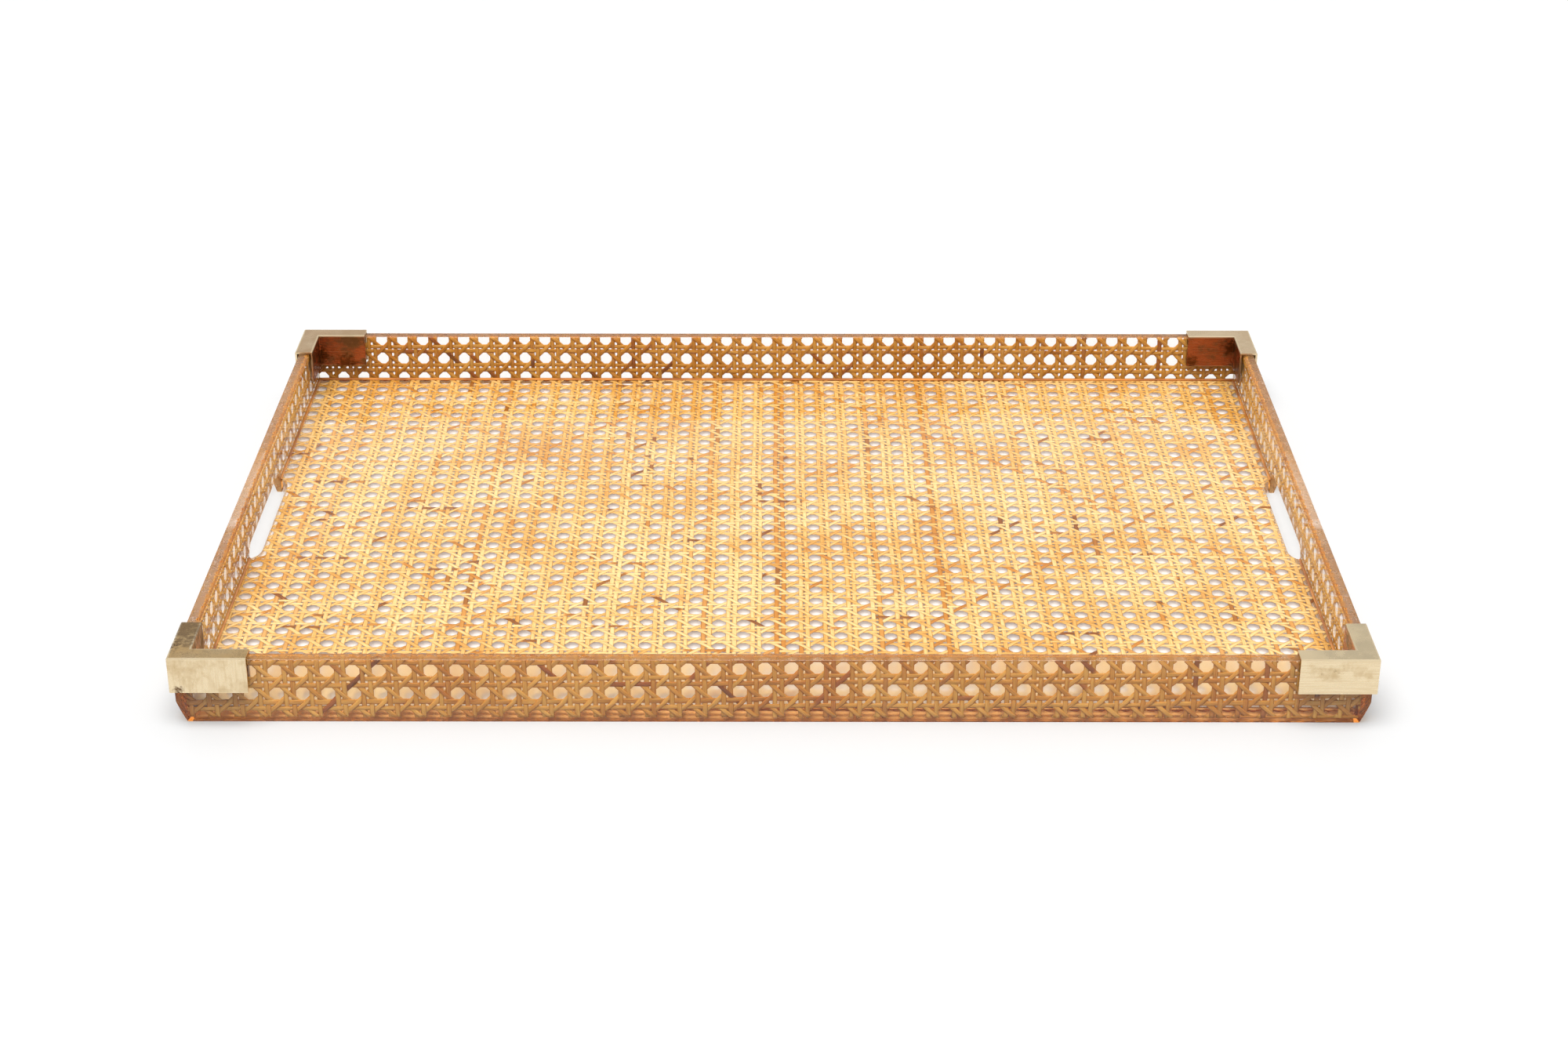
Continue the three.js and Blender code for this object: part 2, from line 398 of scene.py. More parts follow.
@dataclass(frozen=True)
class ClearFinish:
    """Polished clear sheet, which bends what is seen through it and lets lamp light straight in.

    Attributes:
        name: the material's name.
        tint: what its surface passes.
        shade: what it passes to a lamp's shadow ray.
        bond: the tint of the cement in a joint.
        haze_and_painted_cane_reflection: the colour of a sawn edge's milkiness, tinted amber as a painted
            reflection of the cane inside the sheet.
        scuffed: the colour of a pale, warm matt layer under the floor, which is painted light: it lifts and
            warms the shade seen through the holes.
        cloudy: the colour of the bloom on the front wall's inner face.
        bend: its index of refraction.
        milk: the share of a sawn edge that is milky, with the painted amber reflection of the cane.
    """

    name: str
    tint: tuple = (0.997, 0.992, 0.982, 1.0)
    shade: tuple = (0.99, 0.98, 0.965, 1.0)
    bond: tuple = (0.88, 0.66, 0.38, 1.0)
    haze_and_painted_cane_reflection: tuple = (0.88, 0.50, 0.18, 1.0)
    scuffed: tuple = (0.97, 0.91, 0.87, 1.0)
    cloudy: tuple = (1.0, 0.86, 0.60, 1.0)
    bend: float = 1.49
    milk: float = 0.38

    def glass(self, book: NodeBook, rough: object) -> bpy.types.NodeSocket:
        """The clear shader at a roughness."""
        return book.node("BsdfGlass", None, Color=self.tint, Roughness=rough, IOR=self.bend).outputs[0]

    def polished(self) -> bpy.types.Material:
        """Builds the material of its polished faces."""
        book = NodeBook(self.name)
        return self.lit_through(book, self.glass(book, 0.0))

    def lit_through(self, book: NodeBook, sheet: bpy.types.NodeSocket) -> bpy.types.Material:
        """Closes a material whose sheet lets light for matt surfaces pass straight in.

        Args:
            book: the material being written.
            sheet: the shader that is seen.

        Returns:
            The material.
        """
        clear = book.node("BsdfTransparent", None, Color=self.shade).outputs[0]
        path = book.node("LightPath").outputs
        lit = book.math("MAXIMUM", path["Is Shadow Ray"], path["Is Diffuse Ray"])
        return book.close(book.node("MixShader", None, i0=lit, i1=sheet, i2=clear).outputs[0])

    def sawn(self) -> bpy.types.Material:
        """Builds the material of its sawn and sanded edges, satin and slightly milky, with the cane's amber
        reflection painted into the milky part.

        Returns:
            The material.
        """
        book = NodeBook(f"{self.name}_sawn_edge")
        satin = self.glass(book, book.spread(book.cloud(260.0), 0.3, 0.7, 0.16, 0.42))
        # Painted reflection: the amber that the cane inside the sheet shows in a sawn edge is painted into this
        # milky translucent part.
        haze_and_painted_cane_reflection = book.node("BsdfTranslucent", None, Color=self.haze_and_painted_cane_reflection).outputs[0]
        milky = book.node("MixShader", None, i0=self.milk, i1=satin, i2=haze_and_painted_cane_reflection).outputs[0]
        return self.lit_through(book, milky)

    def dulled(self, name: str, kind: str, colour: tuple, share: float, rough: float) -> bpy.types.Material:
        """Builds the material of a face dulled a little unevenly by a matt shader: the painted light under the
        floor, and the bloom on the front wall's inner face.

        Args:
            name: the end of the material's name.
            kind: the matt shader, BsdfDiffuse or BsdfTranslucent.
            colour: the matt shader's colour.
            share: how much of the face it covers.
            rough: how much the clear part blurs.

        Returns:
            The material.
        """
        book = NodeBook(f"{self.name}_{name}")
        dull = book.node(kind, None, Color=colour).outputs[0]
        cover = book.spread(book.cloud(35.0), 0.25, 0.75, share - 0.06, share + 0.06)
        return self.lit_through(
            book, book.node("MixShader", None, i0=cover, i1=self.glass(book, rough), i2=dull).outputs[0])

    def joint(self) -> bpy.types.Material:
        """Builds the material of a cemented joint, which light crosses unbent with an amber tint."""
        book = NodeBook(f"{self.name}_joint")
        return book.close(book.node("BsdfTransparent", None, Color=self.bond).outputs[0])

    def materials(self) -> dict[str, bpy.types.Material]:
        """Builds all its materials.

        Returns:
            Each material, under the kind of face that takes it.
        """
        return {"polished": self.polished(), "sawn": self.sawn(), "joint": self.joint(),
                # Painted light: the floor's underside takes a pale, warm matt layer that lifts and warms the
                # shade seen through the holes.
                "scuffed": self.dulled("scuffed_underside", "BsdfDiffuse", self.scuffed, 0.45, 0.12),
                "cloudy": self.dulled("cloudy_face", "BsdfTranslucent", self.cloudy, 0.30, 0.30)}

    @staticmethod
    def dress(piece: bpy.types.Object, made: dict[str, bpy.types.Material], **chosen: np.ndarray) -> None:
        """Puts the materials on a clear piece.

        Args:
            piece: the clear piece.
            made: the materials, as materials() gives them.
            chosen: for each kind of face but the polished one, whether each face is of it.
        """
        numbers = np.zeros(len(piece.data.polygons), np.int32)
        piece.data.materials.append(made["polished"])
        for index, (kind, mask) in enumerate(chosen.items(), start=1):
            piece.data.materials.append(made[kind])
            numbers[mask] = index
        piece.data.polygons.foreach_set("material_index", numbers)
        piece.data.update()


class Brushing(Enum):
    """Which way the polishing marks run on a cap's skirts."""

    UPRIGHT = (900.0, 900.0, 60.0)
    LEVEL = (60.0, 60.0, 1100.0)


@dataclass(frozen=True)
class Blot:
    """A dark stain on a cap.

    Attributes:
        middle: its middle, in metres.
        reach: how far it reaches, in metres.
        cover: how much of the brass it hides at its middle.
    """

    middle: tuple
    reach: float
    cover: float = 0.9


@dataclass(frozen=True)
class BrassFinish:
    """Brushed brass with a thin, uneven patina, brighter along its folds, for rubbed metal and a painted
    highlight.

    Attributes:
        bright, dull, stained: its colours from the brightest metal, on the folds, to a stain.
        bright, dull, stained: its colours from a rubbed edge to a stain.
        handled: the colour of its top plate.
        sheltered: the colour of its inner skirt, which no polishing cloth reaches.
        blots: its dark stains.
        cover: how much of it the patina covers, from 0 to 1.
        brushing: the run of the polishing marks.
    """

    name: str
    brushing: Brushing
    cover: float = 0.35
    bright: tuple = (0.84, 0.69, 0.455, 1.0)
    dull: tuple = (0.64, 0.48, 0.27, 1.0)
    handled: tuple = (0.64, 0.46, 0.24, 1.0)
    stained: tuple = (0.10, 0.035, 0.008, 1.0)
    sheltered: tuple = (0.30, 0.048, 0.003, 1.0)
    blots: tuple[Blot, ...] = ()

    def stain(self, book: NodeBook, colour: bpy.types.NodeSocket, fleck: bpy.types.NodeSocket
              ) -> bpy.types.NodeSocket:
        """Lays the blots over a colour. Each fades from a fifth of its reach outwards, with a flecked edge.

        Args:
            book: the material being written.
            colour: the brass so far.
            fleck: the fine noise that breaks up a blot's edge.

        Returns:
            The stained colour.
        """
        where = book.node("TexCoord").outputs["Object"]
        for blot in self.blots:
            edge = 0.4 * blot.reach
            away = book.node("VectorMath", {"operation": "DISTANCE"}, i0=where, i1=blot.middle)
            away = away.outputs["Value"]
            away = book.math("ADD", away, book.spread(fleck, 0.3, 0.7, -edge, edge))
            share = book.spread(away, 0.5 * edge, blot.reach, blot.cover, 0.0)
            colour = book.mix(share, colour, self.stained)
        return colour

    def material(self) -> bpy.types.Material:
        """Builds the material: patina in clouds, polishing marks, flecks, the darker top and inner skirt, the
        folds brightened for rubbed metal and as a painted highlight, and the blots.

        Returns:
            The material.
        """
        book = NodeBook(self.name)
        fold = book.attribute("fold")
        marks = book.noise(book.place(*self.brushing.value), 1.0, 3.0, 0.6)
        cloud = book.cloud(75.0, 5.0, 0.62)
        fleck = book.cloud(420.0, 3.0, 0.6)
        veil = book.spread(cloud, 0.62 - 0.3 * self.cover, 0.78 - 0.2 * self.cover)
        colour = book.mix(veil, self.bright, self.dull)
        colour = book.mix(book.spread(marks, 0.38, 0.68, 0.0, 0.35), colour, self.dull)
        spot = book.math("MULTIPLY", book.spread(cloud, 0.60, 0.72), book.spread(fleck, 0.55, 0.68))
        colour = book.mix(book.math("MULTIPLY", spot, 0.8), colour, self.stained)
        touched = book.spread(book.cloud(28.0, 2.0), 0.3, 0.65, 0.6, 0.97)
        colour = book.mix(book.math("MULTIPLY", book.attribute("top"), touched), colour, self.handled)
        deep = book.mix(book.spread(cloud, 0.42, 0.62), self.sheltered, self.stained)
        colour = book.mix(book.math("MULTIPLY", book.attribute("inner"), 0.9), colour, deep)
        # Painted highlight: the folds are brightened in colour, partly for metal rubbed bare and partly for the
        # light line that a fold catches.
        colour = book.mix(book.math("MULTIPLY", fold, 0.85), colour, self.bright)
        colour = self.stain(book, colour, fleck)
        rough = book.math("ADD", book.spread(marks, 0.35, 0.7, 0.22, 0.36), book.math("MULTIPLY", veil, 0.12))
        rough = book.math("ADD", rough, book.math("MULTIPLY", fold, 0.18))
        bump = book.node("Bump", None, Strength=0.12, Distance=0.00008, Height=marks).outputs[0]
        return book.close(book.node("BsdfPrincipled", None, Base_Color=colour, Metallic=1.0, Roughness=rough,
                                    Normal=bump).outputs[0])


# ---------------------------------------------------------------------------------------------------
# Finger grips


@dataclass(frozen=True)
class GripCut:
    """How deep a finger grip is cut in from a panel's edge, along that edge.

    Attributes:
        centre: its middle, along the edge.
        half: half its length.
        round: the length of the rounded corner at each end.
        straight: how deep the straight part of its ends goes.
        reach: how much deeper it is between the corners.
    """

    centre: float
    half: float
    round: float
    straight: float
    reach: float

    def depth(self, along: np.ndarray, margin: float = 0.0) -> np.ndarray:
        """The cut's depth at places along the edge: a straight part, and on it a quarter ellipse at each
        end, where the depth is reach times the root of 1 less the square of how far along the corner the
        place is.

        Args:
            along: the places.
            margin: how much larger the cut is taken all round.

        Returns:
            The depth at each place, and -1 past the cut's ends.
        """
        off = np.abs(along - self.centre)
        lean = np.clip((off - (self.half + margin - self.round)) / self.round, 0.0, 1.0)
        deep = self.straight + margin + self.reach * np.sqrt(1.0 - lean ** 2)
        return np.where(off < self.half + margin, deep, -1.0)

    def stations(self, count: int = 10) -> tuple[np.ndarray, np.ndarray]:
        """Places along the edge from one end of the cut to the other, spaced at each corner as the sine of
        even steps of a quarter turn, so that they lie closer together where the corner is steep.

        Args:
            count: how many steps each corner has.

        Returns:
            The places, and the cut's depth at each.
        """
        turn = np.sin(np.linspace(0.0, math.pi / 2, count + 1))
        low = self.centre - self.half + self.round * (1.0 - turn[::-1])
        high = self.centre + self.half - self.round * (1.0 - turn)
        along = np.concatenate([low, high])
        speck = 1e-9
        inside = np.clip(along, self.centre - self.half + speck, self.centre + self.half - speck)
        return along, self.depth(inside)


def node_points(node: str) -> np.ndarray:
    """Reads the points of a node's mesh.

    Args:
        node: the node's name.

    Returns:
        Its points, as an array of N by 3.
    """
    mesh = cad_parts[node].data
    flat = np.empty(len(mesh.vertices) * 3, np.float32)
    mesh.vertices.foreach_get("co", flat)
    return flat.reshape(-1, 3).astype(float)


def inner_face(side: str) -> float:
    """How far from the tray's middle a short wall's inner face is."""
    low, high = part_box(f"{side}_wall_liner")
    return low.x if side == "right" else -high.x


def wall_grip(side: str) -> GripCut:
    """Reads the slot in a short wall off its outer sheet.

    Args:
        side: left or right.

    Returns:
        The cut, measured up from the table.
    """
    spots = node_points(f"{side}_wall_outer_sheet")
    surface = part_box("floor_top_sheet")[1].z
    feet = np.unique(spots[spots[:, 2] < HAIR, 1].round(6))
    inner = feet[np.abs(feet) < 0.5 * feet.max()]
    low, high = inner.min(), inner.max()
    beside = (spots[:, 1] > low - MM) & (spots[:, 1] < high + MM)
    slot = spots[beside & (spots[:, 2] < 0.6 * spots[:, 2].max())]
    roof = slot[:, 2].max()
    flat = slot[slot[:, 2] > roof - 0.5 * HAIR, 1].max()
    return GripCut((low + high) / 2, (high - low) / 2, high - flat, surface, roof - surface)


def floor_grip(side: str) -> GripCut:
    """Reads the slot in the floor beside a short wall off the floor's top sheet.

    Args:
        side: left or right.

    Returns:
        The cut, measured in from the wall's inner face.
    """
    wall = wall_grip(side)
    spots = node_points("floor_top_sheet")
    near = spots[(spots[:, 0] > 0) == (side == "right")]
    deepest = np.abs(near[:, 0]).min()
    flat = near[np.abs(near[:, 0]) < deepest + 0.5 * HAIR, 1].max()
    return GripCut(wall.centre, wall.half, wall.centre + wall.half - flat, 0.0, inner_face(side) - deepest)


# ---------------------------------------------------------------------------------------------------
# Woven cane


@dataclass(frozen=True)
class Plane:
    """A flat sheet's own directions.

    Attributes:
        zero: the place that its distances are measured from.
        along, up, out: its directions along it, up it and out of its face.
    """

    zero: tuple
    along: tuple
    up: tuple
    out: tuple

    def place(self, along: np.ndarray, up: np.ndarray, out: np.ndarray) -> np.ndarray:
        """The places of points, each zero plus its three distances times the three directions."""
        axes = np.array([self.along, self.up, self.out], float)
        return np.array(self.zero, float) + np.stack([along, up, out], axis=-1) @ axes


@dataclass(frozen=True)
class Region:
    """The part of a plane that cane fills: a rectangle, less the finger grips cut into its edges.

    Attributes:
        low, high: its corners, as distances along and up.
        right_cut, left_cut: cuts in from the ends, each with the distance along that it is measured from.
        under_cut: a cut up from the bottom.
    """

    low: tuple
    high: tuple
    right_cut: tuple | None = None
    left_cut: tuple | None = None
    under_cut: GripCut | None = None

    def holds(self, along: np.ndarray, up: np.ndarray, margin: float) -> np.ndarray:
        """Whether cane may lie at each place.

        Args:
            along, up: the places.
            margin: how clear of every cut they have to be.

        Returns:
            Whether each place is inside the rectangle and clear of the cuts.
        """
        inside = (along >= self.low[0]) & (along <= self.high[0]) & (up >= self.low[1]) & (up <= self.high[1])
        if self.right_cut:
            edge, cut = self.right_cut
            inside &= edge - along > cut.depth(up, margin)
        if self.left_cut:
            edge, cut = self.left_cut
            inside &= along - edge > cut.depth(up, margin)
        if self.under_cut:
            inside &= up > self.under_cut.depth(along, margin)
        return inside


class Wave(Enum):
    """How a strand rises and dips, as how many points of its wave are kept in each mesh.

    A PAIR strand does it at each paired crossing, and a SLANT strand at each side of a hole.
    """

    PAIR = 6
    SLANT = 8

    def height(self, step: np.ndarray) -> np.ndarray:
        """How high the strand is. A pair strand follows a sine less half the sine at twice the rate. A slant
        strand follows a cosine with its tops flattened, by 1.5 times it less half its cube.

        Args:
            step: the distances along the strand, in meshes.

        Returns:
            The heights, from -1 to 1.
        """
        turn = 2.0 * math.pi * step
        if self is Wave.PAIR:
            return (np.sin(turn) - 0.5 * np.sin(2.0 * turn)) / 1.3
        crest = np.cos(turn)
        return crest * (1.5 - 0.5 * crest ** 2)


@dataclass(frozen=True)
class StrandSet:
    """One of the six sets of strands in the weave, in mesh units with the holes at whole numbers.

    Attributes:
        label: its name.
        start: where its first strand passes.
        step: from one strand to the next.
        run: the way a strand goes.
        wave: how it rises and dips.
        sign: 1 if it goes over first, -1 if under.
    """

    label: str
    start: tuple
    step: tuple
    run: tuple
    wave: Wave
    sign: int


PAIR_APART = 0.135  # from a pair's middle to each of its strands, in meshes
OVAL = 6  # points round a strand
STRAND_SETS = (
    StrandSet("uprights_left", (0.5 - PAIR_APART, 0.0), (1, 0), (0, 1), Wave.PAIR, -1),
    StrandSet("uprights_right", (0.5 + PAIR_APART, 0.0), (1, 0), (0, 1), Wave.PAIR, 1),
    StrandSet("crossers_lower", (0.0, 0.5 - PAIR_APART), (0, 1), (1, 0), Wave.PAIR, 1),
    StrandSet("crossers_upper", (0.0, 0.5 + PAIR_APART), (0, 1), (1, 0), Wave.PAIR, -1),
    StrandSet("slants_rising", (0.0, 0.5), (0, 1), (1, 1), Wave.SLANT, 1),
    StrandSet("slants_falling", (0.0, 0.5), (0, 1), (1, -1), Wave.SLANT, -1),
)


@dataclass
class CaneSheet:
    """A sheet of half-inch woven cane in one panel.

    Attributes:
        name: the start of its pieces' names.
        node: the node that it stands for.
        plane: where it lies.
        region: the part of the plane that it fills.
        hole: the middle of one hole, as distances along and up.
        drift: how far each row shifts along, and each column up, from one to the next.
        seed: starts its random draws.
        pitch: from hole to hole.
        width, slant_width, thickness: of a pair strand, of a slant strand, and of both.
        pair_lift, slant_lift: how far from the middle the two kinds of strand go.
        dark: the share of strands that are brown all along.
        slow: how far the whole sheet drifts off its even mesh.
        longest: more than the longest strand's half, in meshes.
    """

    name: str
    node: str
    plane: Plane
    region: Region
    hole: tuple
    drift: tuple = (0.0, 0.0)
    seed: int = 1
    pitch: float = 12.7 * MM
    width: float = 2.50 * MM
    slant_width: float = 2.35 * MM
    thickness: float = 0.46 * MM
    pair_lift: float = 0.29 * MM
    slant_lift: float = 0.50 * MM
    dark: float = 0.025
    slow: float = 0.30 * MM
    longest: float = 60.0

    def lines(self, strands: StrandSet) -> range:
        """Which of a set's strands may cross the region: each corner's distance across the strands, over the
        distance from one strand to the next.

        Args:
            strands: the set.

        Returns:
            The strands' numbers, with two to spare at each end.
        """
        corners = np.array([(a, u) for a in (self.region.low[0], self.region.high[0])
                            for u in (self.region.low[1], self.region.high[1])])
        normal = np.array([-strands.run[1], strands.run[0]], float)
        found = ((corners - self.hole) / self.pitch - strands.start) @ normal / (strands.step @ normal)
        return range(math.floor(found.min()) - 2, math.ceil(found.max()) + 3)

    def centreline(self, strands: StrandSet, number: int, steps: np.ndarray, wander: tuple
                   ) -> tuple[np.ndarray, np.ndarray, np.ndarray]:
        """Where a strand's middle runs: the even mesh, a slow drift of the whole sheet made of two sines
        each way, and the strand's own small shift and sway sideways.

        Args:
            strands: the set it belongs to.
            number: which of the set it is.
            steps: how far along it, in meshes.
            wander: the strand's own shift, sway and phases.

        Returns:
            Its distances along, up and out.
        """
        shift, sway, phase, rate = wander
        side = (shift + sway * np.sin(rate * steps + phase)) / math.hypot(*strands.run)
        a = strands.start[0] + number * strands.step[0] + steps * strands.run[0] - side * strands.run[1]
        b = strands.start[1] + number * strands.step[1] + steps * strands.run[1] + side * strands.run[0]
        along = self.hole[0] + self.pitch * a + self.drift[0] * b
        up = self.hole[1] + self.pitch * b + self.drift[1] * a
        turn = 2.0 * math.pi
        along = along + self.slow * (np.sin(turn * (up / 0.21 + along / 0.37) + self.seed)
                                     + 0.5 * np.sin(turn * up / 0.083))
        up = up + self.slow * (np.sin(turn * (along / 0.26 - up / 0.31) + 2 * self.seed)
                               + 0.5 * np.sin(turn * along / 0.097))
        lift = self.pair_lift if strands.wave is Wave.PAIR else self.slant_lift
        return along, up, strands.sign * lift * strands.wave.height(steps)

    def runs(self, strands: StrandSet, number: int, wander: tuple) -> list[np.ndarray]:
        """Cuts a strand to the region. The points kept are the turning points of its wave and the two ends.

        Args:
            strands: the set it belongs to.
            number: which of the set it is.
            wander: the strand's own shift, sway and phases.

        Returns:
            The stretches that lie inside, each as its steps along in meshes.
        """
        least = 8
        fine = np.arange(-self.longest, self.longest, 0.01)
        along, up, _ = self.centreline(strands, number, fine, wander)
        margin = 0.35 * self.width if strands.wave is Wave.SLANT else 0.05 * MM
        inside = self.region.holds(along, up, margin)
        flips = np.flatnonzero(np.diff(np.concatenate([[False], inside, [False]]).astype(int)))
        found = []
        for first, last in flips.reshape(-1, 2):
            if last - first < least:
                continue
            begin, end = fine[first], fine[last - 1]
            per = strands.wave.value
            keys = np.arange(math.ceil(begin * per + 0.2), math.floor(end * per - 0.2) + 1) / per
            found.append(np.concatenate([[begin], keys, [end]]))
        return found

    def ribbon(self, strands: StrandSet, number: int, steps: np.ndarray, wander: tuple,
               draw: np.random.Generator) -> Surface:
        """One stretch of strand: a flat oval of six points, carried along its centreline. The oval's points
        are half its breadth times the cosine of their angle, and half its thickness times the sine, both
        to the power 0.7. It leans slowly to one side and the other by up to 7 degrees.

        Args:
            strands: the set it belongs to.
            number: which of the set it is.
            steps: the places along it, in meshes.
            wander: the strand's own shift and sway.
            draw: the random numbers.

        Returns:
            A closed surface with the values along, across, tone and stain.
        """
        along, up, out = self.centreline(strands, number, steps, wander)
        middle = np.stack([along, up, out], axis=1)
        ahead = np.gradient(middle, axis=0)
        ahead /= np.linalg.norm(ahead, axis=1, keepdims=True)
        level = np.stack([-ahead[:, 1], ahead[:, 0], np.zeros(len(ahead))], axis=1)
        level /= np.linalg.norm(level, axis=1, keepdims=True)
        tilt = np.radians(7.0) * np.sin(steps * draw.uniform(1.5, 3.5) + draw.uniform(0, 6.3))[:, None]
        raised = np.cross(ahead, level)
        side = np.cos(tilt) * level + np.sin(tilt) * raised
        face = np.cos(tilt) * raised - np.sin(tilt) * level
        corner = np.arange(OVAL) * 2.0 * math.pi / OVAL
        wide = np.sign(np.cos(corner)) * np.abs(np.cos(corner)) ** 0.7
        high = np.sign(np.sin(corner)) * np.abs(np.sin(corner)) ** 0.7
        whole = self.width if strands.wave is Wave.PAIR else self.slant_width
        breadth = 0.5 * whole * (1.0 + 0.05 * np.sin(steps * 2.3 + number) + draw.normal(0, 0.03))
        points = (middle[:, None, :]
                  + (breadth[:, None] * wide)[:, :, None] * side[:, None, :]
                  + (0.5 * self.thickness * high)[None, :, None] * face[:, None, :])
        points[..., 0] = np.clip(points[..., 0], self.region.low[0], self.region.high[0])
        points[..., 1] = np.clip(points[..., 1], self.region.low[1], self.region.high[1])
        count = len(steps)
        length = steps * self.pitch * math.hypot(*strands.run)
        values = {
            "along": np.repeat(length, OVAL) + draw.uniform(0, 3),
            "across": np.tile(wide, count),
            "tone": np.full(count * OVAL, np.clip(draw.normal(0.38, 0.2), 0, 1)),
            "stain": np.repeat(self.stains(length, draw), OVAL),
        }
        return Surface(self.plane.place(*points.reshape(-1, 3).T),
                       [ring_faces(count, OVAL), *end_faces(count, OVAL)], values)

    def stains(self, length: np.ndarray, draw: np.random.Generator) -> np.ndarray:
        """How brown a strand is along its length: a few short runs, one to half a metre on the whole, and
        some strands all along.

        Args:
            length: the distances along it, in metres.
            draw: the random numbers.

        Returns:
            The brown at each distance, from 0 to 1.
        """
        brown = np.full(len(length), draw.uniform(0.3, 0.72) if draw.random() < self.dark else 0.0)
        span = length[-1] - length[0]
        for _ in range(draw.poisson(span / 0.5)):
            centre = draw.uniform(length[0], length[-1])
            half = draw.uniform(2, 16) * MM
            brown = np.maximum(brown, draw.uniform(0.3, 1.0) * (np.abs(length - centre) < half))
        return brown

    def strands(self, chosen: tuple, name: str) -> bpy.types.Object:
        """Makes the strands of some sets as one object.

        Args:
            chosen: the sets.
            name: the object's name.

        Returns:
            The object.
        """
        draw = np.random.default_rng(self.seed * 100 + STRAND_SETS.index(chosen[0]))
        made = []
        for strands in chosen:
            for number in self.lines(strands):
                wander = (draw.normal(0, 0.010), draw.uniform(0, 0.014),
                          draw.uniform(0, 6.3), draw.uniform(0.6, 2.2))
                for steps in self.runs(strands, number, wander):
                    made.append(self.ribbon(strands, number, steps, wander, draw))
        starts = np.cumsum([0] + [len(part.points) for part in made[:-1]])
        faces = [block + start for part, start in zip(made, starts) for block in part.faces]
        values = {key: np.concatenate([part.values[key] for part in made]) for key in made[0].values}
        return mesh_object(name, Surface(np.concatenate([part.points for part in made]), faces, values))

    def build(self, material: bpy.types.Material, apart: bool) -> list[bpy.types.Object]:
        """Makes the whole sheet.

        Args:
            material: the cane's finish.
            apart: whether each set of strands is a piece of its own.

        Returns:
            Its pieces.
        """
        groups = [(STRAND_SETS, self.name)]
        if apart:
            groups = [((strands,), f"{self.name}_{strands.label}") for strands in STRAND_SETS]
        pieces = []
        for chosen, name in groups:
            piece = self.strands(chosen, name)
            piece.data.materials.append(material)
            pieces.append(finish_piece(piece, "cane", self.node))
        return pieces


# ---------------------------------------------------------------------------------------------------
# Clear sheets


@dataclass
class ClearFloor:
    """The clear body of the floor: the sheets under and over its cane, with the bond between them.

    Attributes:
        finish: the clear sheet's finish.
    """

    finish: ClearFinish

    def outline(self) -> np.ndarray:
        """The floor's edge seen from above, with the grips cut into its two ends.

        Returns:
            Its points as x and y, anticlockwise.
        """
        low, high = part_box("floor_top_sheet")
        right = self.end_line("right", high.x)
        left = self.end_line("left", high.x)[::-1] * np.array([-1, 1])
        corners = [np.array([[high.x, low.y]]), right, np.array([[high.x, high.y]]),
                   np.array([[low.x, high.y]]), left, np.array([[low.x, low.y]])]
        return np.concatenate(corners)

    def end_line(self, side: str, edge: float) -> np.ndarray:
        """The line of one end's grip, from front to back.

        Args:
            side: left or right.
            edge: how far from the middle the floor's end is.

        Returns:
            Its points as x and y, with x taken as positive.
        """
        cut = floor_grip(side)
        inside = cut.reach + np.abs(node_points("floor_top_sheet")[:, 0]).min()
        along, depth = cut.stations()
        x = inside - np.maximum(depth, 0)
        keep = x < edge
        return np.stack([x[keep], along[keep]], axis=1)

    def build(self, made: dict[str, bpy.types.Material]) -> bpy.types.Object:
        """Makes the piece: the outline carried up from the table to the floor's surface. Its edges are joints
        against the walls, and sawn round the grips.

        Args:
            made: the clear finish's materials.

        Returns:
            The piece.
        """
        outline = self.outline()
        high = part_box("floor_top_sheet")[1]
        rings = [np.column_stack([outline, np.full(len(outline), height)]) for height in (0.0, high.z)]
        piece = carried("floor_clear", rings)
        middles, normals = face_places(piece)
        upright = np.abs(normals[:, 2]) < 0.5
        edge = (np.abs(middles[:, 0]) > high.x - HAIR) | (np.abs(middles[:, 1]) > high.y - HAIR)
        # The underside takes the painted warm light.
        self.finish.dress(piece, made, sawn=upright & ~edge, joint=upright & edge, scuffed=normals[:, 2] < -0.5)
        return finish_piece(piece, "clear_sheet", "floor_under_sheet", "floor_top_sheet")


class Side(Enum):
    """The four walls, with the way each faces out and the way it runs."""

    FRONT = ("front", (0, -1), (1, 0))
    RIGHT = ("right", (1, 0), (0, 1))
    BACK = ("back", (0, 1), (-1, 0))
    LEFT = ("left", (-1, 0), (0, -1))

    @property
    def label(self) -> str:
        """The start of the wall's node names."""
        return self.value[0]

    @property
    def out(self) -> np.ndarray:
        """The way it faces out, seen from above."""
        return np.array(self.value[1], float)

    @property
    def run(self) -> np.ndarray:
        """The way it runs, seen from above."""
        return np.array(self.value[2], float)

    @property
    def is_long(self) -> bool:
        """Whether it is the front or the back wall."""
        return self in (Side.FRONT, Side.BACK)

    @property
    def inside(self) -> float:
        """How far from the tray's middle its inner face is."""
        return float((np.array([[p.x, p.y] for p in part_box(f"{self.label}_wall_liner")]) @ self.out).min())


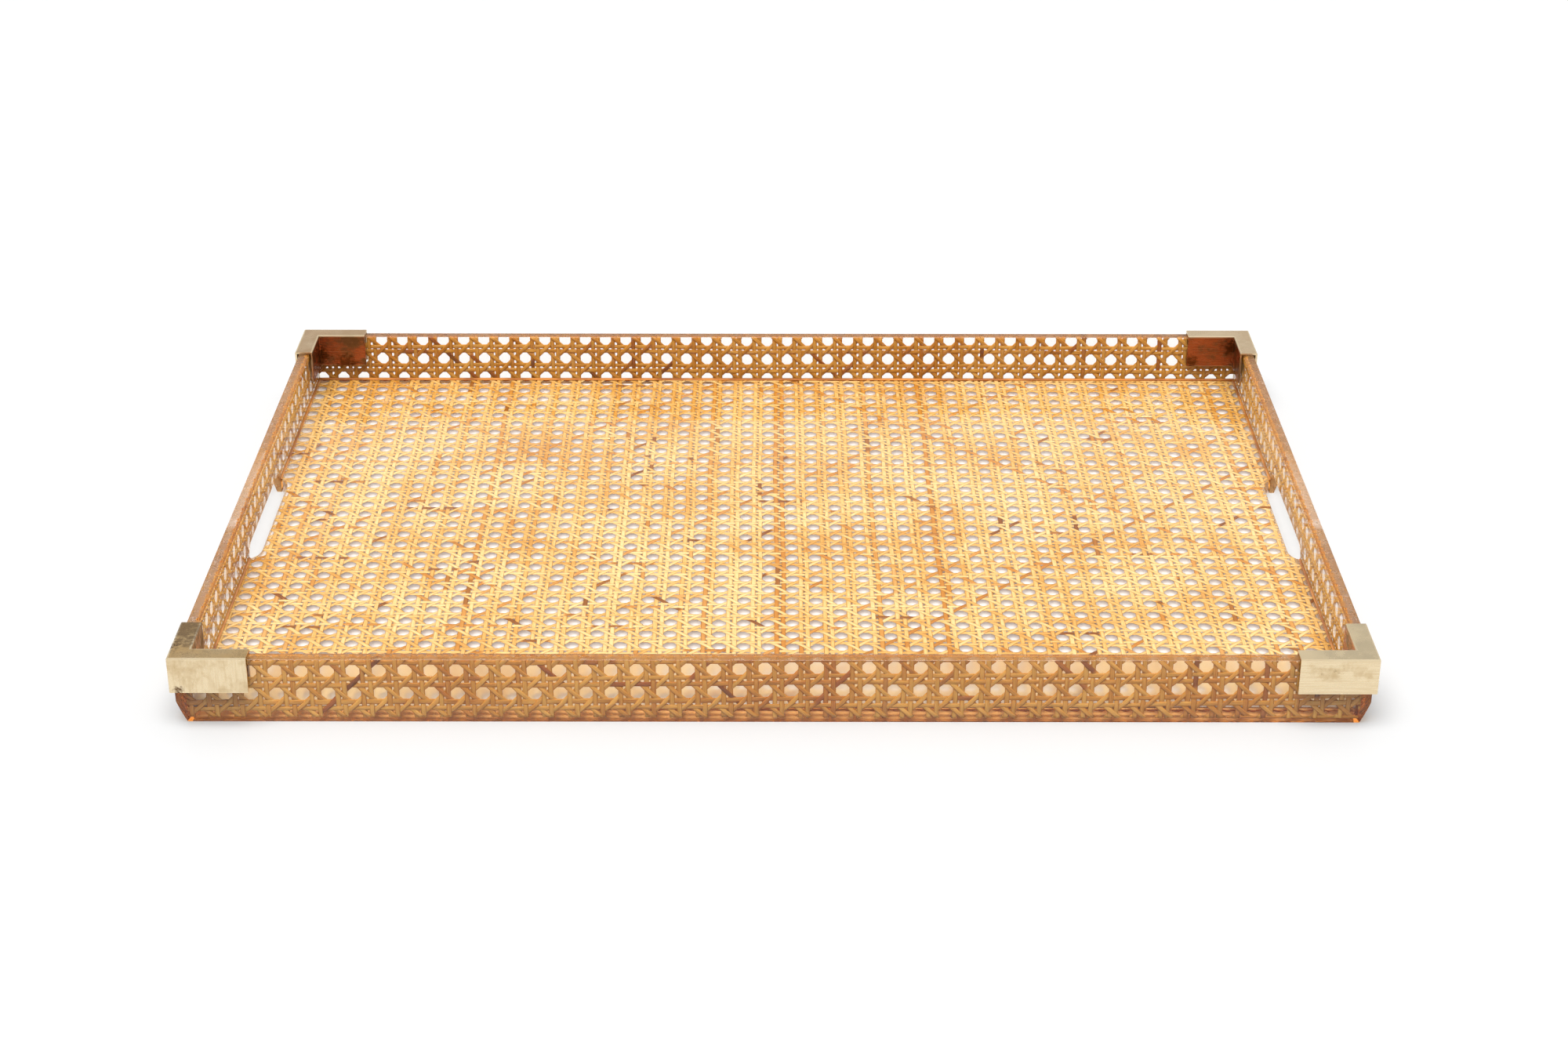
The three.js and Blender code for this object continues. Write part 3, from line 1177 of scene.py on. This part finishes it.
@dataclass
class ClearWall:
    """The clear body of one wall: its outer sheet and liner, with the bond between them.

    Attributes:
        side: which wall it is.
        finish: the clear sheet's finish.
        foot_inset, foot_rise: how far and from what height its outside draws in to the table.
        foot_bend: the point, in and up, that the foot's curve is drawn towards.
        edge: the radius of its polished top edges.
    """

    side: Side
    finish: ClearFinish
    foot_inset: float = 3.8 * MM
    foot_rise: float = 13.5 * MM
    foot_bend: tuple = (1.2 * MM, 8.0 * MM)
    edge: float = 0.45 * MM

    def foot(self, count: int = 12) -> np.ndarray:
        """The foot's curve from its top down. With t from 0 to 1 it is the top times the square of 1 less t,
        the bend times 2 t times 1 less t, and the toe times the square of t.

        Args:
            count: how many steps it has.

        Returns:
            Its points, as depth in and height.
        """
        share = np.linspace(0.0, 1.0, count + 1)[:, None]
        top = np.array([0.0, self.foot_rise])
        bend = np.array(self.foot_bend)
        toe = np.array([self.foot_inset, 0.0])
        return (1 - share) ** 2 * top + 2 * share * (1 - share) * bend + share ** 2 * toe

    def section(self, thick: float, tall: float, floor: float) -> np.ndarray:
        """The wall's cross-section: up its inner face, over two rounded edges, and down the outer face and
        the foot. Where a grip is cut, what lies under the cut's roof is raised to it.

        Args:
            thick: the wall's thickness.
            tall: its height.
            floor: the height of the cut's roof, or 0.

        Returns:
            Its points, as depth in and height.
        """
        turn = np.linspace(0.0, math.pi / 2, 4)
        round_in, round_up = self.edge * np.sin(turn), self.edge * np.cos(turn)
        inner = np.stack([thick - self.edge + round_up, tall - self.edge + round_in], axis=1)
        outer = np.stack([self.edge - round_in, tall - self.edge + round_up], axis=1)
        foot = self.foot()
        raised = np.maximum(foot[:, 1], floor)
        foot = np.stack([np.interp(raised, foot[::-1, 1], foot[::-1, 0]), raised], axis=1)
        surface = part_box("floor_top_sheet")[1].z
        return np.concatenate([inner, outer, foot, [[thick, floor]], [[thick, max(floor, surface)]]])

    def stations(self) -> list[tuple[float, float]]:
        """Where the wall's section changes: at its grip, if it has one.

        Returns:
            The places along the wall in order, each with the height of the cut's roof.
        """
        if self.side.is_long:
            return []
        cut = wall_grip(self.side.label)
        spots = [(cut.centre - cut.half, 0.0), *zip(*cut.stations()), (cut.centre + cut.half, 0.0)]
        return spots if self.side is Side.RIGHT else [(-along, roof) for along, roof in spots][::-1]

    def face_kinds(self, piece: bpy.types.Object, tall: float) -> dict[str, np.ndarray]:
        """Sorts the piece's faces by finish: the top and the grip are sawn, the mitres and the part against
        the floor are joints, and the front wall's inner face is cloudy.

        Args:
            piece: the wall's piece.
            tall: the wall's height.

        Returns:
            For each kind of face, whether each face is of it.
        """
        middles, normals = face_places(piece)
        along, depth = np.abs(normals[:, :2] @ self.side.run), normals[:, :2] @ self.side.out
        mitre = (along > 0.5) & (np.abs(depth) > 0.5)
        inward = depth < -0.9
        foot = inward & (middles[:, 2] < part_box("floor_top_sheet")[1].z)
        top = (normals[:, 2] > 0.7) & (middles[:, 2] > tall - self.edge)
        roof = (normals[:, 2] < -0.3) & (np.abs(depth) < 0.1)
        cut = (middles[:, 2] > MM) & ~mitre & ((along > 0.3) | roof)
        kinds = {"sawn": top | cut, "joint": mitre | foot}
        if self.side is Side.FRONT:
            kinds["cloudy"] = inward & ~foot
        return kinds

    def build(self, made: dict[str, bpy.types.Material]) -> bpy.types.Object:
        """Makes the piece: the section carried along the wall, and cut at 45 degrees at both ends, where each
        point stops short of the corner by its own depth.

        Args:
            made: the clear finish's materials.

        Returns:
            The piece.
        """
        label, out, run = self.side.label, self.side.out, self.side.run
        low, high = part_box(f"{label}_wall_outer_sheet")
        corner = np.array([[low.x, low.y], [high.x, high.y]])
        face = float((corner @ out).max())
        half = float((corner @ run).max())
        middle = self.stations()
        rings = []
        for index, (spot, floor) in enumerate([(-1.0, 0.0), *middle, (1.0, 0.0)]):
            section = self.section(face - self.side.inside, high.z, floor)
            along = np.full(len(section), spot)
            if index in (0, len(middle) + 1):
                along = spot * (half - section[:, 0])
            flat = np.outer(along, run) + np.outer(face - section[:, 0], out)
            rings.append(np.column_stack([flat, section[:, 1]]))
        piece = carried(f"{label}_wall_clear", rings)
        self.finish.dress(piece, made, **self.face_kinds(piece, high.z))
        return finish_piece(piece, "clear_sheet", f"{label}_wall_outer_sheet", f"{label}_wall_liner")


@dataclass
class BondBead:
    """The thin bead of cement left along the inside corner between the floor and the walls.

    Attributes:
        height, depth: how far it reaches up the wall and out over the floor.
        colour, deep: its amber, where it is thin and where it is thick.
    """

    height: float = 1.0 * MM
    depth: float = 0.8 * MM
    colour: tuple = (0.40, 0.155, 0.028, 1.0)
    deep: tuple = (0.22, 0.07, 0.012, 1.0)

    def material(self) -> bpy.types.Material:
        """Builds the cement's material, amber in uneven patches.

        Returns:
            The material.
        """
        book = NodeBook("cement_bead")
        colour = book.mix(book.spread(book.cloud(60.0), 0.35, 0.65), self.colour, self.deep)
        return book.close(book.node("BsdfPrincipled", None, Base_Color=colour, Roughness=0.28).outputs[0])

    def spans(self, side: Side) -> list[tuple[float, float]]:
        """The stretches along one wall where the bead runs.

        Args:
            side: the wall.

        Returns:
            The two ends of each stretch, clear of a grip.
        """
        half = (Side.RIGHT if side.is_long else Side.BACK).inside
        if side.is_long:
            return [(-half, half)]
        cut = wall_grip(side.label)
        low, high = cut.centre - cut.half, cut.centre + cut.half
        return [(-half, low), (high, half)] if side is Side.RIGHT else [(-half, -high), (-low, half)]

    def build(self) -> bpy.types.Object:
        """Makes the bead: a hollow-faced corner section carried along each wall and stopped at the grips.
        The face's depth falls from the foot as 1 less the sine, and its height rises as 1 less the cosine.

        Returns:
            The piece.
        """
        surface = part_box("floor_top_sheet")[1].z
        turn = np.linspace(0.0, math.pi / 2, 5)
        curve = np.stack([self.depth * (1.0 - np.sin(turn)), self.height * (1.0 - np.cos(turn))], axis=1)
        section = np.concatenate([[[0.0, 0.0]], curve])
        count = len(section)
        points, faces = [], []
        for side in Side:
            across = np.outer(side.inside - section[:, 0], side.out)
            for span in self.spans(side):
                start = len(points) * count
                faces += [block + start for block in (ring_faces(2, count), *end_faces(2, count))]
                points += [np.column_stack([spot * side.run + across, surface + section[:, 1]])
                           for spot in span]
        piece = mesh_object("bond_bead", Surface(np.concatenate(points), faces), smooth=False, tidy=True)
        piece.data.materials.append(self.material())
        return finish_piece(piece, "clear_sheet")


# ---------------------------------------------------------------------------------------------------
# Brass corner caps


@dataclass
class BrassCap:
    """One corner cap: a channel of folded sheet, mouth down, that turns the corner.

    Attributes:
        corner: which corner, as the end of its node's name.
        across: -1 for a left corner and 1 for a right one.
        back: -1 for a front corner and 1 for a back one.
        finish: its brass.
        sheet: the sheet's thickness.
        fold: the outer radius of its folds.
        least: the smallest radius inside a fold.
        turn: the outer radius of its upright corner.
        bright_reach: how far the brighter metal beside a fold reaches, rubbed and with a painted highlight.
        bevel: how far its sharp edges are broken.
    """

    corner: str
    across: int
    back: int
    finish: BrassFinish
    sheet: float = 1.2 * MM
    fold: float = 0.7 * MM
    least: float = 0.1 * MM
    turn: float = 0.6 * MM
    bright_reach: float = 0.5 * MM
    bevel: float = 0.12 * MM

    def profile(self, wide: float, outer: float, inner: float) -> tuple[np.ndarray, dict[str, np.ndarray]]:
        """The channel's cross-section, as depth in from its outside and height under its top, closed. Each
        fold is a quarter circle, by the cosine and sine of its turn.

        Args:
            wide: its whole width.
            outer: the height of the outer skirt.
            inner: the height of the inner skirt.

        Returns:
            Its points: up the outside, over both folds, down the inside, and back under the sheet. Then
            the values of each point: how rubbed it is, whether it is sheltered, and whether it is on top.
        """
        turn = np.linspace(0.0, math.pi / 2, 6)
        big, bright_reach = self.fold, self.bright_reach
        small = max(self.fold - self.sheet, self.least)
        core = self.sheet + small
        sine, cosine = np.sin(turn), np.cos(turn)
        first = np.stack([big - big * cosine, -big + big * sine], axis=1)
        second = np.stack([wide - big + big * sine, -big + big * cosine], axis=1)
        third = np.stack([wide - core + small * cosine, -core + small * sine], axis=1)
        fourth = np.stack([core - small * sine, -core + small * cosine], axis=1)
        outside, top, inside = range(3)
        parts = (
            (np.array([[0.0, -big - bright_reach]]), 0, outside), (first, 1, outside),
            (np.array([[big + bright_reach, 0.0], [wide - big - bright_reach, 0.0]]), 0, top),
            (second[:3], 1, outside), (second[3:], 0.6, inside),
            (np.array([[wide, -big - bright_reach], [wide, bright_reach - inner]]), 0, inside),
            (np.array([[wide, -inner], [wide - self.sheet, -inner]]), 0.5, inside),
            (third, 0, inside), (fourth, 0, outside),
            (np.array([[self.sheet, -outer], [0.0, -outer]]), 1, outside),
            (np.array([[0.0, bright_reach - outer]]), 0, outside),
        )
        points = np.concatenate([part for part, _, _ in parts])
        fold = np.concatenate([np.full(len(part), rubbed_and_lit) for part, rubbed_and_lit, _ in parts])
        where = np.concatenate([np.full(len(part), kind) for part, _, kind in parts])
        return points, {"fold": fold, "inner": where == inside, "top": where == top}

    def build(self) -> bpy.types.Object:
        """Makes the cap: the section carried from one end, round the corner and to the other end. Round the
        corner each of its points turns by a quarter circle of its own.

        Returns:
            The piece.
        """
        node = f"cap_{self.corner}"
        low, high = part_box(node)
        spots = node_points(node)
        long_x, long_y = high.x - low.x, high.y - low.y
        edge_x = high.x if self.across > 0 else -low.x
        edge_y = high.y if self.back > 0 else -low.y
        inset = edge_x - np.abs(spots[:, 0])
        outer = high.z - spots[inset < HAIR, 2].min()
        wide = inset[np.abs(spots[:, 1]) < edge_y - long_y + HAIR].max()
        section, kinds = self.profile(wide, outer, high.z - low.z)
        depth, height = section.T
        bend = np.maximum(self.turn - depth, 2.0 * self.least)
        fan = np.linspace(0.0, math.pi / 2, 6)
        stations = [(np.full(len(depth), long_x), depth)]
        stations += [(depth + bend * (1.0 - np.sin(turn)), depth + bend * (1.0 - np.cos(turn)))
                     for turn in fan]
        stations += [(depth, np.full(len(depth), long_y))]
        rings = [np.column_stack([self.across * (edge_x - x), self.back * (edge_y - y), high.z + height])
                 for x, y in stations]
        piece = carried(f"{node}_folded", rings, **kinds)
        broken = piece.modifiers.new("edges", "BEVEL")
        broken.width = self.bevel
        broken.segments = 2
        broken.limit_method = "ANGLE"
        broken.angle_limit = math.radians(40)
        piece.data.materials.append(self.finish.material())
        return finish_piece(piece, "brass", node)


# ---------------------------------------------------------------------------------------------------
# The tray


FLOOR_SKIN = CaneFinish("floor_cane_skin", painted_back_deepening=0.20)
# Painted shade: the end walls' cane is a deeper, more orange copy of the floor's cane, standing in for the
# shade on upright walls.
END_WALL_SHADED_CANE = CaneFinish(
    "end_wall_cane_painted_shade", pale=(0.66, 0.42, 0.10, 1.0), golden=(0.54, 0.28, 0.040, 1.0),
    amber=(0.44, 0.17, 0.018, 1.0), through=(0.92, 0.48, 0.07, 1.0))
# Painted shade: the long walls' cane is a darker, more orange copy of the floor's cane, standing in for the
# shade on upright walls that get little of the light from above.
LONG_WALL_SHADED_CANE = CaneFinish(
    "wall_cane_painted_shade", pale=(0.55, 0.31, 0.060, 1.0), golden=(0.44, 0.20, 0.020, 1.0),
    amber=(0.34, 0.11, 0.010, 1.0), tawny=(0.26, 0.075, 0.008, 1.0), brown=(0.15, 0.046, 0.004, 1.0),
    through=(0.92, 0.42, 0.030, 1.0))
CAPS = (
    BrassCap("front_left", -1, -1, BrassFinish(
        "brass_front_left", Brushing.UPRIGHT, 0.55, handled=(0.68, 0.45, 0.19, 1.0), blots=(
            Blot((-0.2925, -0.2134, 0.0215), 0.0032), Blot((-0.2905, -0.2134, 0.0230), 0.0014),
            Blot((-0.2966, -0.2000, 0.0370), 0.0045), Blot((-0.2925, -0.1800, 0.0380), 0.0280, 0.60)))),
    BrassCap("front_right", 1, -1, BrassFinish(
        "brass_front_right", Brushing.LEVEL, 0.35, handled=(0.97, 0.79, 0.50, 1.0))),
    BrassCap("back_left", -1, 1, BrassFinish(
        "brass_back_left", Brushing.LEVEL, 0.45, handled=(0.58, 0.38, 0.20, 1.0), blots=(
            Blot((-0.2700, 0.2027, 0.0190), 0.0090), Blot((-0.2850, 0.2027, 0.0250), 0.0070)))),
    BrassCap("back_right", 1, 1, BrassFinish(
        "brass_back_right", Brushing.LEVEL, 0.40, handled=(0.70, 0.51, 0.30, 1.0), blots=(
            Blot((0.2845, 0.2027, 0.0310), 0.0065), Blot((0.2600, 0.2027, 0.0215), 0.0060)))),
)


@dataclass(frozen=True)
class Lie:
    """How the weave lies in one panel.

    Attributes:
        hole: the middle of one hole, in millimetres along and up.
        drift: how far each row shifts along and each column up, in millimetres.
        seed: starts its random draws.
    """

    hole: tuple
    drift: tuple
    seed: int

    def sizes(self) -> dict[str, object]:
        """The same in metres, under the names that a cane sheet gives them."""
        return {"hole": (self.hole[0] * MM, self.hole[1] * MM),
                "drift": (self.drift[0] * MM, self.drift[1] * MM), "seed": self.seed}


@dataclass
class Tray:
    """The whole tray: its clear panels, the cane inside them and the brass over its corners.

    Attributes:
        floor_lie, wall_lies: how the weave lies in the floor and in each wall.
        trim: how far the strands' cut ends stop under a wall's top.
    """

    floor_lie: Lie = Lie((-4.15, 20.9), (-0.084, -0.185), 3)
    wall_lies: tuple = (Lie((8.9, 18.0), (0.0, 0.10), 10), Lie((8.5, 16.9), (0.0, 0.0), 16),
                        Lie((6.8, 21.9), (0.0, -0.02), 9), Lie((8.5, 16.9), (0.0, 0.0), 15))
    trim: float = 0.06 * MM

    def floor_cane(self) -> CaneSheet:
        """Sets out the cane of the floor.

        Returns:
            The sheet, with both grips cut from it.
        """
        low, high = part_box("floor_cane")
        cuts = {"right_cut": (inner_face("right"), floor_grip("right")),
                "left_cut": (-inner_face("left"), floor_grip("left"))}
        plane = Plane((0, 0, (low.z + high.z) / 2), (1, 0, 0), (0, 1, 0), (0, 0, 1))
        region = Region((low.x, low.y), (high.x, high.y), **cuts)
        return CaneSheet("floor_weave", "floor_cane", plane, region, **self.floor_lie.sizes())

    def wall_cane(self, side: Side, lie: Lie) -> CaneSheet:
        """Sets out the cane of one wall, whose plane runs to the right or the back, and up.

        Args:
            side: the wall.
            lie: how the weave lies in it.

        Returns:
            The sheet.
        """
        node = f"{side.label}_wall_cane"
        low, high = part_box(node)
        top = high.z - self.trim
        if side.is_long:
            plane = Plane((0, (low.y + high.y) / 2, 0), (1, 0, 0), (0, 0, 1), (0, -1, 0))
            region = Region((low.x, low.z), (high.x, top))
        else:
            plane = Plane(((low.x + high.x) / 2, 0, 0), (0, 1, 0), (0, 0, 1), (1, 0, 0))
            region = Region((low.y, low.z), (high.y, top), under_cut=wall_grip(side.label))
        return CaneSheet(f"{side.label}_wall_weave", node, plane, region, **lie.sizes())

    def build(self) -> None:
        """Makes every piece of the tray: the floor, the walls, the bead between them and the caps."""
        finish = ClearFinish("clear_sheet")
        clear, long_wall_shaded_cane, end_wall_shaded_cane = finish.materials(), LONG_WALL_SHADED_CANE.material(), END_WALL_SHADED_CANE.material()
        self.floor_cane().build(FLOOR_SKIN.material(), apart=True)
        ClearFloor(finish).build(clear)
        for side, lie in zip(Side, self.wall_lies):
            self.wall_cane(side, lie).build(long_wall_shaded_cane if side.is_long else end_wall_shaded_cane, apart=False)
            ClearWall(side, finish).build(clear)
        BondBead().build()
        for cap in CAPS:
            cap.build()


# ---------------------------------------------------------------------------------------------------
# The studio


@dataclass
class Studio:
    """A pale floor, soft light and the camera.

    Attributes:
        lens, sensor: of the camera, in millimetres.
        eye: where it stands.
        pitch, yaw, roll: how far it looks down, turns left and leans, in degrees.
        floor_drop, floor_half, floor_tone: how far the floor is under the tray, half its width, and its grey.
        glow: the sky's brightness, as stops from the horizon up.
        key_strength: the main light's strength, in watts per square metre.
        key_spread, key_height, key_turn: how wide it looks, how high it stands, and how far it stands to the
            right of straight in front, in degrees.
    """

    lens: float = 62.42
    sensor: float = 36.0
    eye: tuple = (5.87 * MM, -1374.5 * MM, 682.95 * MM)
    pitch: float = 26.14
    yaw: float = 0.036
    roll: float = 0.05
    floor_drop: float = 0.25 * MM
    floor_half: float = 4.0
    floor_tone: float = 0.355
    glow: tuple = ((0.0, 1.0), (0.36, 1.0), (0.46, 0.40), (0.60, 0.40), (0.80, 1.1), (1.0, 1.3))
    key_strength: float = 6.9
    key_spread: float = 52.0
    key_height: float = 70.0
    key_turn: float = -12.0

    def camera(self) -> None:
        """Sets up the camera."""
        data = bpy.data.cameras.new("camera")
        data.lens = self.lens
        data.sensor_width = self.sensor
        data.clip_start = 0.01
        data.clip_end = 50
        made = bpy.data.objects.new("camera", data)
        bpy.context.scene.collection.objects.link(made)
        turn = (Matrix.Rotation(math.radians(self.yaw), 4, "Z")
                @ Matrix.Rotation(math.radians(90 - self.pitch), 4, "X")
                @ Matrix.Rotation(math.radians(self.roll), 4, "Z"))
        made.matrix_world = Matrix.Translation(self.eye) @ turn
        bpy.context.scene.camera = made

    def floor(self) -> None:
        """Lays a wide pale floor just under the tray."""
        corners = self.floor_half * np.array([[-1, -1, 0], [1, -1, 0], [1, 1, 0], [-1, 1, 0]])
        flat = Surface(corners - [0, 0, self.floor_drop], [np.array([[0, 1, 2, 3]])])
        made = mesh_object("studio_floor", flat, smooth=False)
        book = NodeBook("pale_floor")
        grey = (self.floor_tone, self.floor_tone, self.floor_tone, 1)
        made.data.materials.append(book.close(
            book.node("BsdfPrincipled", None, Base_Color=grey, Roughness=0.65).outputs[0]))

    def sky(self) -> None:
        """Lights the room: bright near the horizon, darker above it, and brightest overhead."""
        world = bpy.data.worlds.new("studio")
        bpy.context.scene.world = world
        world.use_nodes = True
        tree = world.node_tree
        tree.nodes.clear()
        where = tree.nodes.new("ShaderNodeTexCoord")
        split = tree.nodes.new("ShaderNodeSeparateXYZ")
        tree.links.new(where.outputs["Generated"], split.inputs[0])
        ramp = tree.nodes.new("ShaderNodeValToRGB")
        tree.links.new(split.outputs["Z"], ramp.inputs[0])
        line = ramp.color_ramp.elements
        while len(line) < len(self.glow):
            line.new(0.5)
        for element, (place, bright) in zip(line, self.glow):
            element.position = place
            element.color = (bright, bright, bright, 1)
        glow = tree.nodes.new("ShaderNodeBackground")
        glow.inputs["Strength"].default_value = 1.0
        tree.links.new(ramp.outputs[0], glow.inputs["Color"])
        tree.links.new(glow.outputs[0], tree.nodes.new("ShaderNodeOutputWorld").inputs[0])

    def key(self) -> None:
        """Hangs the soft main light, which polished faces don't mirror."""
        data = bpy.data.lights.new("key", "SUN")
        data.energy = self.key_strength
        data.angle = math.radians(self.key_spread)
        made = bpy.data.objects.new("key", data)
        made.visible_glossy = False
        bpy.context.scene.collection.objects.link(made)
        made.matrix_world = (Matrix.Rotation(math.radians(self.key_turn), 4, "Z")
                             @ Matrix.Rotation(math.radians(90 - self.key_height), 4, "X"))

    def build(self) -> None:
        """Sets up the camera, the floor and the light, and how far light is followed through the sheets."""
        self.camera()
        self.floor()
        self.sky()
        self.key()
        scene = bpy.context.scene
        scene.view_settings.view_transform = "Standard"
        scene.cycles.caustics_reflective = False
        scene.cycles.caustics_refractive = False
        scene.cycles.max_bounces = 16
        scene.cycles.transmission_bounces = 16
        scene.cycles.transparent_max_bounces = 24
        scene.cycles.sample_clamp_indirect = 6.0


def main() -> None:
    logging.basicConfig(level=logging.INFO, format="%(name)s: %(message)s")
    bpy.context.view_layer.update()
    Studio().build()
    Tray().build()


if __name__ == "__main__":
    main()
